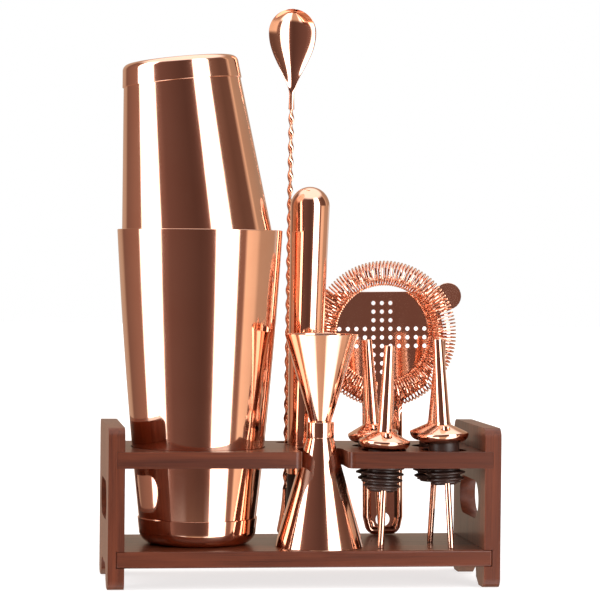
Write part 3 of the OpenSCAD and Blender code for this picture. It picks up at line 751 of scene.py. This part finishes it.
class SHAKER_OT_jigger(bpy.types.Operator):
    """Build the double jigger: two cone cups joined by a collar"""

    bl_idname = "shaker_set.jigger"
    bl_label = "Jigger"

    def execute(self, context):
        upright = Matrix.Identity(4)
        place, base, base_rise = seat("jigger_large_cup", upright)
        collar_place, collar, collar_rise = seat("jigger_collar", upright)
        rim_place, rim, rim_rise = seat("jigger_small_cup", upright)
        round_lip, edge = 0.35 * MM, 0.4 * MM
        waist, neck, inner_floor = collar - 0.1 * MM, 5.9 * MM, base_rise - CUP_FLOOR
        section = outline(
            (0, inner_floor), (waist - CUP_WALL, inner_floor, 2 * MM), (base - CUP_WALL, 0, round_lip),
            (base, 0, round_lip), (waist, base_rise), (0, base_rise))
        turned("large_cup_cone", section, place, "jigger", ["jigger_large_cup"])
        section = outline(
            (0, 0), (neck, 0), (rim, rim_rise, round_lip), (rim - CUP_WALL, rim_rise, round_lip),
            (neck - CUP_WALL / 2, CUP_FLOOR, 1.5 * MM), (0, CUP_FLOOR))
        turned("small_cup_cone", section, rim_place, "jigger", ["jigger_small_cup"])
        section = outline((0, 0), (collar, 0, edge), (collar, collar_rise, edge), (0, collar_rise))
        turned("plain_collar", section, collar_place, "jigger", ["jigger_collar"])
        return {"FINISHED"}


# ---------- Strainer ----------


def spring_tree():
    """Geometry tree of a wire coiled round a ring that stays open at the handle."""
    sizes = ("Ring Radius", "Coil Radius", "Wire Radius", "Turns", "Open Angle")
    tree, given = geometry_tree("Ring Spring", sizes, ("Points",))
    line = add(tree, "GeometryNodeCurvePrimitiveLine", {"End": (1.0, 0.0, 0.0)})
    path = add(tree, "GeometryNodeResampleCurve", {"Curve": line.outputs[0], "Count": given["Points"]})
    factor = add(tree, "GeometryNodeSplineParameter").outputs["Factor"]
    sweep = calc(tree, "SUBTRACT", math.tau, calc(tree, "MULTIPLY", given["Open Angle"], 2.0))
    start = calc(tree, "ADD", given["Open Angle"], DOWN)
    around = calc(tree, "MULTIPLY_ADD", factor, sweep, start)
    wind = calc(tree, "MULTIPLY", calc(tree, "MULTIPLY", factor, given["Turns"]), math.tau)
    reach = calc(tree, "MULTIPLY_ADD", calc(tree, "COSINE", wind),
                 given["Coil Radius"], given["Ring Radius"])
    point = add(tree, "ShaderNodeCombineXYZ", {
        "X": calc(tree, "MULTIPLY", reach, calc(tree, "COSINE", around)),
        "Y": calc(tree, "MULTIPLY", reach, calc(tree, "SINE", around)),
        "Z": calc(tree, "MULTIPLY", calc(tree, "SINE", wind), given["Coil Radius"])})
    coil = add(tree, "GeometryNodeSetPosition",
               {"Geometry": path.outputs[0], "Position": point.outputs[0]})
    wire = add(tree, "GeometryNodeCurvePrimitiveCircle",
               {"Resolution": WIRE_SIDES, "Radius": given["Wire Radius"]})
    tube = add(tree, "GeometryNodeCurveToMesh",
               {"Curve": coil.outputs[0], "Profile Curve": wire.outputs[0], "Fill Caps": True})
    return finish_tree(tree, tube.outputs[0], given["Finish"])


def perforated_tree():
    """Geometry tree that fills a flat outline round a cross of holes and gives it a thickness."""
    sizes = ("Hole Radius", "Spacing", "Reach", "Drop", "Thickness")
    tree, given = geometry_tree("Perforated Sheet", sizes, shapes=("Outline",))
    across = 11  # holes
    arm, highest = 1.5, 4.5  # half width and half height of the cross, in spacings
    span = calc(tree, "MULTIPLY", given["Spacing"], across - 1.0)
    grid = add(tree, "GeometryNodeMeshGrid",
               {"Size X": span, "Size Y": span, "Vertices X": across, "Vertices Y": across})
    place = add(tree, "GeometryNodeInputPosition").outputs[0]
    xyz = add(tree, "ShaderNodeSeparateXYZ", {0: place}).outputs
    half_arm = calc(tree, "MULTIPLY", given["Spacing"], arm)
    off_x = calc(tree, "GREATER_THAN", calc(tree, "ABSOLUTE", xyz[0]), half_arm)
    off_y = calc(tree, "GREATER_THAN", calc(tree, "ABSOLUTE", xyz[1]), half_arm)
    half_rise = calc(tree, "MULTIPLY", given["Spacing"], highest)
    tall = calc(tree, "GREATER_THAN", calc(tree, "ABSOLUTE", xyz[1]), half_rise)
    away = add(tree, "ShaderNodeVectorMath", {0: place}, operation="LENGTH").outputs["Value"]
    outside = calc(tree, "GREATER_THAN", away, given["Reach"])
    corner = calc(tree, "MULTIPLY", off_x, off_y)
    unwanted = calc(tree, "MAXIMUM", corner, calc(tree, "MAXIMUM", outside, tall))
    cross = add(tree, "GeometryNodeDeleteGeometry",
                {"Geometry": grid.outputs[0], "Selection": unwanted}, domain="POINT")
    lowered = add(tree, "GeometryNodeTransform", {
        "Geometry": cross.outputs[0],
        "Translation": add(tree, "ShaderNodeCombineXYZ", {"Y": given["Drop"]}).outputs[0]})
    hole = add(tree, "GeometryNodeCurvePrimitiveCircle", {"Resolution": 20, "Radius": given["Hole Radius"]})
    holes = add(tree, "GeometryNodeInstanceOnPoints",
                {"Points": lowered.outputs[0], "Instance": hole.outputs[0]})
    real = add(tree, "GeometryNodeRealizeInstances", {"Geometry": holes.outputs[0]})
    rim = add(tree, "GeometryNodeMeshToCurve", {"Mesh": given["Outline"]})
    fill = add(tree, "GeometryNodeFillCurve", {"Curve": joined(tree, rim.outputs[0], real.outputs[0])})
    sheet = add(tree, "GeometryNodeExtrudeMesh",
                {"Mesh": fill.outputs[0], "Offset Scale": given["Thickness"], "Individual": False})
    back = add(tree, "GeometryNodeFlipFaces", {"Mesh": fill.outputs[0]})
    closed = joined(tree, sheet.outputs[0], back.outputs[0])
    welded = add(tree, "GeometryNodeMergeByDistance", {"Geometry": closed, "Distance": WELD})
    return finish_tree(tree, welded.outputs[0], given["Finish"])


class SHAKER_OT_strainer(bpy.types.Operator):
    """Build the strainer: perforated plate with ears, beaded handle and ring spring"""

    bl_idname = "shaker_set.strainer"
    bl_label = "Strainer"

    def execute(self, context):
        strainer = context.scene.shaker_set.strainer
        turn = joint_turn("strainer_lift")
        low, high = local_box("strainer_plate", turn)
        ring_low, ring_high = local_box("strainer_spring", turn)
        ring_outer = (ring_high.x - ring_low.x) / 2
        coil = (ring_high.y - ring_low.y) / 2
        centre = Vector(((ring_low.x + ring_high.x) / 2, high.y, ring_high.z - ring_outer))
        # The strainer's own frame: X across, Y up, Z towards the front
        place = turn @ Matrix.Translation(centre) @ Matrix.Rotation(UP, 4, "X")
        sheet, points_per_turn = 1.2 * MM, 22
        values = {
            "Ring Radius": ring_outer - coil, "Coil Radius": coil - strainer.wire / 2,
            "Wire Radius": strainer.wire / 2, "Turns": float(strainer.turns), "Open Angle": math.radians(8),
            "Points": strainer.turns * points_per_turn, "Finish": finish(PLATING),
        }
        spring_place = place @ Matrix.Translation((0, 0, high.y - (ring_low.y + ring_high.y) / 2))
        from_tree("ring_spring", spring_tree(), values, spring_place, "strainer", ["strainer_spring"])
        values = {
            "Hole Radius": strainer.pore / 2, "Spacing": strainer.pitch, "Reach": 34 * MM, "Drop": -2.3 * MM,
            "Thickness": sheet, "Finish": finish(PLATING),
        }
        plate = from_tree("perforated_plate", perforated_tree(), values, place, "strainer",
                          ["strainer_plate"], self.plate_outline())
        round_edges(plate, 0.12 * MM, 1, math.radians(30))
        self.handle(strainer, place, centre.z - low.z, sheet)
        return {"FINISHED"}

    def plate_outline(self):
        """Edge of the plate as a closed loop: cut top, ears, round sides and shoulders down to the neck."""
        disc, cut = 36 * MM, 24.3 * MM
        ear, ear_reach, ear_angle, arm = 7.8 * MM, 44.5 * MM, math.radians(28.8), 6.4 * MM
        shoulder_reach, shoulder_angle, side_end = 40 * MM, math.radians(49.5), -math.radians(34)
        neck_drop, neck_end = 39.4 * MM, 46 * MM
        arm_angle, ear_spread = math.asin(arm / disc), math.pi - math.asin(arm / ear)
        right = arc(0, 0, disc, math.asin(cut / disc), ear_angle + arm_angle, 4)
        right += arc(ear_reach * math.cos(ear_angle), ear_reach * math.sin(ear_angle), ear,
                     ear_angle + ear_spread, ear_angle - ear_spread, 16)
        right += arc(0, 0, disc, ear_angle - arm_angle, side_end, 16)
        right += [
            (shoulder_reach * math.cos(shoulder_angle), -shoulder_reach * math.sin(shoulder_angle)),
            (HANDLE_HALF + 1.2 * MM, -neck_drop + 0.9 * MM), (HANDLE_HALF + 0.3 * MM, -neck_drop - 0.5 * MM),
            (HANDLE_HALF, -neck_drop - 3 * MM), (HANDLE_HALF, -neck_end),
        ]
        loop = right + [(-x, y) for x, y in reversed(right)]
        mesh = bmesh.new()
        verts = [mesh.verts.new((x, y, 0)) for x, y in loop]
        for i, vert in enumerate(verts):
            mesh.edges.new((vert, verts[(i + 1) % len(verts)]))
        return settled("plate_outline", mesh)

    def handle(self, strainer, place, reach, sheet):
        """Handle with a bead pressed up along both edges and round its foot, and a hanging hole."""
        half_foot, taper, corner = 9.3 * MM, 10 * MM, 4.5 * MM
        top, foot = -42 * MM, -reach
        bead, lift, fade = strainer.bead, 1.75 * MM, 9 * MM
        hole, hole_rise = 8.3 * MM / 2, 8.6 * MM
        heights = [foot + corner * (1 - math.cos(UP * i / 8)) for i in range(8)]
        heights += [foot + corner + (taper - corner) * i / 6 for i in range(6)]
        heights += [foot + taper + (top - foot - taper) * i / 44 for i in range(45)]

        def half_width(y):
            rise = y - foot
            side = HANDLE_HALF if rise > taper else half_foot + (HANDLE_HALF - half_foot) * rise / taper
            if rise < corner:
                side -= corner * (1 - math.sqrt(max(1 - ((corner - rise) / corner) ** 2, 0)))
            return side

        count = 40
        rows = []
        for y in heights:
            side = half_width(y)
            fade_in = min(1.0, (top - y) / fade)
            front, back = [], []
            for i in range(count + 1):
                x = side * math.sin(UP * (2 * i / count - 1))
                inset = min(side - abs(x), (y - foot) * 1.02)
                t = min(inset / bead, 1.0)
                press = lift * math.sin(math.pi * t) * fade_in * fade_in * (3 - 2 * fade_in)
                front.append((x, y, sheet + press))
                back.append((x, y, press))
            rows.append(back + front[::-1])
        handle = piece("beaded_handle", loft(rows, place), "strainer", [], crease=SOFT_CREASE)
        deep = 5 * MM
        cut_out(handle, cutter([(0, -deep), (hole, -deep), (hole, deep), (0, deep)],
                               place @ Matrix.Translation((0, foot + hole_rise, 0)), 64))


def cut_out(obj, cutter_data):
    """Cuts the closed mesh cutter_data out of obj."""
    tool = placed("cutter", cutter_data)
    modifier = obj.modifiers.new("cut", "BOOLEAN")
    modifier.object = tool
    modifier.solver = "EXACT"
    applied(obj)
    bpy.data.objects.remove(tool)
    mesh = bmesh.new()
    mesh.from_mesh(obj.data)
    for edge in mesh.edges:
        edge.smooth = len(edge.link_faces) != 2 or edge.calc_face_angle(0.0) < math.radians(40)
    mesh.to_mesh(obj.data)
    mesh.free()


# ---------- Pourers ----------


class SHAKER_OT_pourers(bpy.types.Operator):
    """Build the four pourers: spout, flange, finned cork and vent tube"""

    bl_idname = "shaker_set.pourers"
    bl_label = "Pourers"

    def execute(self, context):
        for body in (body for body in frame["bodies"] if body.startswith("pourer_")):
            turn = joint_turn(body + "_lift")
            self.spout(body, turn)
            self.flange(body, turn)
            self.cork(body, turn)
            self.vent_tube(body, turn)
        return {"FINISHED"}

    def spout(self, body, turn):
        place, foot, rise = seat(body + "_spout", turn)
        flange_place, _, flange_rise = seat(body + "_flange", turn)
        start = (place.inverted() @ flange_place).translation.z + flange_rise
        tip, wall, lip = 2.9 * MM, 0.6 * MM, 0.25 * MM
        sunk, inner_floor, root = start - 0.8 * MM, start + 1.5 * MM, foot - 0.4 * MM
        section = [(0, sunk)] + outline(
            (foot, sunk), (foot, start + 0.3 * MM, 0.3 * MM), (root, inner_floor, 1.5 * MM),
            (tip, rise, lip), (tip - wall, rise, lip), (root - wall, inner_floor, 0.5 * MM),
            (0, inner_floor))
        turned(body + "_tube", section, place, body, [body + "_spout"], 72)

    def flange(self, body, turn):
        """A lens-shaped flange: it curves in to the cork below, slopes up to the spout, and has a vent."""
        place, edge, rise = seat(body + "_flange", turn)
        collar, belly, vent, vent_y = 4.75 * MM, 4.7 * MM, 2.6 * MM, -8.6 * MM
        under = [(CORK_TOP + (edge - CORK_TOP) * math.sin(a), belly * (1 - math.cos(a)))
                 for a in (UP * i / 14 for i in range(15))]
        lip = [(edge - 0.15 * MM, belly + 0.45 * MM), (edge - 0.65 * MM, belly + 0.9 * MM)]
        top = lip + outline(lip[-1], (collar + 0.9 * MM, rise - 0.5 * MM, 1.5 * MM), (collar, rise))[1:]
        section = [(0, 0)] + under + top + [(0, rise)]
        flange = turned(body + "_bell", section, place, body, [body + "_flange"], 96)
        cut_out(flange, cutter([(0, 0), (vent, 0), (vent, rise), (0, rise)],
                               place @ Matrix.Translation((0, vent_y, belly)), 40))

    def cork(self, body, turn):
        """A rubber cork with a plain neck and soft fins, the lower ones smaller."""
        place, widest, rise = seat(body + "_cork", turn)
        neck, fins, taper = 5 * MM, 5, 9 * MM
        foot, pitch = CORK_TOP - 1.5 * MM, (rise - neck - 1 * MM) / fins
        section = outline((0, rise), (CORK_TOP, rise, 0.3 * MM), (CORK_TOP, rise - neck))
        for i in range(fins):
            drop = neck + i * pitch
            z = rise - drop
            fin = widest - taper * max(0, (drop - neck - 4 * MM) / rise) ** 2
            section += outline(
                (CORK_TOP, z), (fin, z - 0.25 * pitch, 0.35 * MM), (fin, z - 0.5 * pitch, 0.3 * MM),
                (CORK_TOP - 0.3 * MM, z - 0.75 * pitch, 0.5 * MM), (CORK_TOP - 0.2 * MM, z - pitch))[1:]
        section += outline((foot, 0.9 * MM), (foot - 0.8 * MM, 0, 0.5 * MM), (0, 0))
        turned(body + "_finned_cork", section, place, body, [body + "_cork"], 96,
               slot=RUBBER, material=CORK)

    def vent_tube(self, body, turn):
        place, radius, rise = seat(body + "_vent_tube", turn)
        bore, bore_depth, round_end = radius - 0.5 * MM, 8 * MM, 0.2 * MM
        section = outline((0, bore_depth), (bore, bore_depth), (bore, 0, round_end),
                          (radius, 0, round_end), (radius, rise, round_end), (0, rise))
        turned(body + "_air_tube", section, place, body, [body + "_vent_tube"], 40)


# ---------- Studio ----------


class SHAKER_OT_studio(bpy.types.Operator):
    """Set up the camera, the pale floor and the soft studio light"""

    bl_idname = "shaker_set.studio"
    bl_label = "Studio"

    def execute(self, context):
        studio = context.scene.shaker_set.studio
        self.camera(context.scene, studio.lens)
        self.floor()
        self.world(context.scene, studio)
        context.scene.view_settings.view_transform = "Standard"
        return {"FINISHED"}

    def camera(self, scene, lens):
        flat = math.cos(PITCH)
        forward = Vector((math.sin(YAW) * flat, math.cos(YAW) * flat, math.sin(PITCH)))
        level = Vector((math.cos(YAW), -math.sin(YAW), 0))
        upward = level.cross(forward)
        right = math.cos(ROLL) * level + math.sin(ROLL) * upward
        top = math.cos(ROLL) * upward - math.sin(ROLL) * level
        data = bpy.data.cameras.new("front_camera")
        data.lens = lens
        data.sensor_width = 36.0
        data.clip_start = 0.01
        camera = bpy.data.objects.new("front_camera", data)
        turn = Matrix((right, top, -forward)).transposed().to_4x4()
        camera.matrix_world = Matrix.Translation(CAMERA_PLACE) @ turn
        scene.collection.objects.link(camera)
        scene.camera = camera

    def floor(self):
        mesh = bmesh.new()
        bmesh.ops.create_circle(mesh, cap_ends=True, radius=6.0, segments=96)
        floor = placed("pale_floor", settled("pale_floor", mesh))
        material, tree, shader, place = surface("pale_floor")
        cloud = noise(tree, place, 3.0)
        feed(tree, shader.inputs["Base Color"], ramp(tree, cloud, [(0.3, 0.44), (0.7, 0.47)]))
        shader.inputs["Emission Color"].default_value = (1, 1, 1, 1)
        shader.inputs["Emission Strength"].default_value = 0.72
        shader.inputs["Roughness"].default_value = 0.9
        shader.inputs["Specular IOR Level"].default_value = 0.1
        floor.data.materials.append(material)
        floor.visible_glossy = False

    def world(self, scene, studio):
        """A studio round the object: softboxes at both sides, a dim room in front, white behind.

        Each list of bands goes round by compass degrees from the camera's side: angle, colour, strength.
        """
        world = bpy.data.worlds.new("studio")
        world.use_nodes = True
        scene.world = world
        tree = world.node_tree
        tree.nodes.clear()
        way = add(tree, "ShaderNodeTexCoord").outputs["Generated"]
        xyz = add(tree, "ShaderNodeSeparateXYZ", {0: way}).outputs
        heading = calc(tree, "ARCTAN2", xyz[0], calc(tree, "MULTIPLY", xyz[1], -1.0))
        turns = calc(tree, "DIVIDE", calc(tree, "ADD", heading, YAW), math.tau)
        share = calc(tree, "ADD", calc(tree, "WRAP", turns, 0.5, -0.5), 0.5)
        box, dim, glow = studio.softbox, studio.dark, 2.6
        white, tan = (1.0, 1.0, 1.0), (1.0, 0.74, 0.55)
        brown, dark = (1.0, 0.58, 0.45), (1.0, 0.55, 0.46)
        front = [
            (-180, tan, 0.62), (-140, tan, 0.52), (-132, brown, 0.22), (-92, brown, 0.36), (-88, white, box),
            (-56, white, box), (-52, dark, 0.30), (-40, dark, dim * 1.5), (-12, dark, dim * 1.1),
            (4, dark, dim * 0.9), (13, dark, dim), (19, dark, dim * 1.4), (24, dark, 0.34), (27, white, box),
            (56, white, box),
        ]
        level_right = [
            (60, brown, 0.30), (69, brown, 0.30), (73, tan, 1.15), (90, tan, 0.95), (97, tan, 0.55),
            (130, tan, 0.50), (140, white, 0.80), (180, tan, 0.62),
        ]
        high_right = [
            (60, brown, 0.24), (84, brown, 0.15), (104, brown, 0.17), (112, tan, 0.9),
            (116, tan, 0.5), (150, tan, 0.42), (180, tan, 0.62),
        ]
        table = [
            (-180, tan, 0.7), (-140, tan, 0.6), (-100, brown, 0.35), (-86, brown, 0.4),
            (-78, white, glow), (-26, white, glow), (-18, tan, 0.80), (14, tan, 0.68),
            (22, white, glow), (66, white, glow), (74, tan, 0.6), (100, brown, 0.4),
            (140, tan, 0.6), (180, tan, 0.7),
        ]
        level, high, low = (
            ramp(tree, share, [((angle + 180) / 360, tuple(c * power / box for c in shade))
                               for angle, shade, power in bands])
            for bands in (front + level_right, front + high_right, table)
        )
        height = calc(tree, "MULTIPLY_ADD", xyz[2], 0.5, 0.5)
        rising = ramp(tree, height, [(0.50, 0.0), (0.56, 1.0)], True)
        sinking = ramp(tree, height, [(0.26, 1.0), (0.36, 0.0)], True)
        overhead = ramp(tree, height, [(0.80, 0.0), (0.90, 1.0)], True)
        top = studio.top_light / box
        around = blend_colours(tree, sinking, blend_colours(tree, rising, level, high), low)
        room = blend_colours(tree, overhead, around, (top, top, top))
        seen = add(tree, "ShaderNodeLightPath").outputs["Is Camera Ray"]
        backdrop = (1 / box, 1 / box, 1 / box)
        colour_round = blend_colours(tree, seen, room, backdrop)
        light = add(tree, "ShaderNodeBackground", {"Color": colour_round, "Strength": box})
        add(tree, "ShaderNodeOutputWorld", {0: light.outputs[0]})


# ---------- Panel and main ----------

OPERATORS = (
    SHAKER_OT_studio, SHAKER_OT_stand, SHAKER_OT_tins, SHAKER_OT_bar_spoon, SHAKER_OT_muddler,
    SHAKER_OT_jigger, SHAKER_OT_strainer, SHAKER_OT_pourers,
)


class SHAKER_PT_panel(bpy.types.Panel):
    """Lists the set's pieces and the studio"""

    bl_label = "Shaker Set"
    bl_space_type = "VIEW_3D"
    bl_region_type = "UI"
    bl_category = "Shaker Set"

    def draw(self, context):
        for operator in OPERATORS:
            self.layout.operator(operator.bl_idname)


CLASSES = (
    StandSettings, TinSettings, SpoonSettings, StrainerSettings, MetalSettings, StudioSettings,
    ShakerSetSettings, *OPERATORS, SHAKER_PT_panel,
)


def register():
    for cls in CLASSES:
        bpy.utils.register_class(cls)
    bpy.types.Scene.shaker_set = bpy.props.PointerProperty(type=ShakerSetSettings)


def unregister():
    del bpy.types.Scene.shaker_set
    for cls in reversed(CLASSES):
        bpy.utils.unregister_class(cls)


def corners(bounds):
    return [[float(x) for x in corner] for corner in bounds]


def main():
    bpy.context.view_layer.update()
    register()
    for operator in OPERATORS:
        group, name = operator.bl_idname.split(".")
        getattr(getattr(bpy.ops, group), name)()


if __name__ == "__main__":
    main()
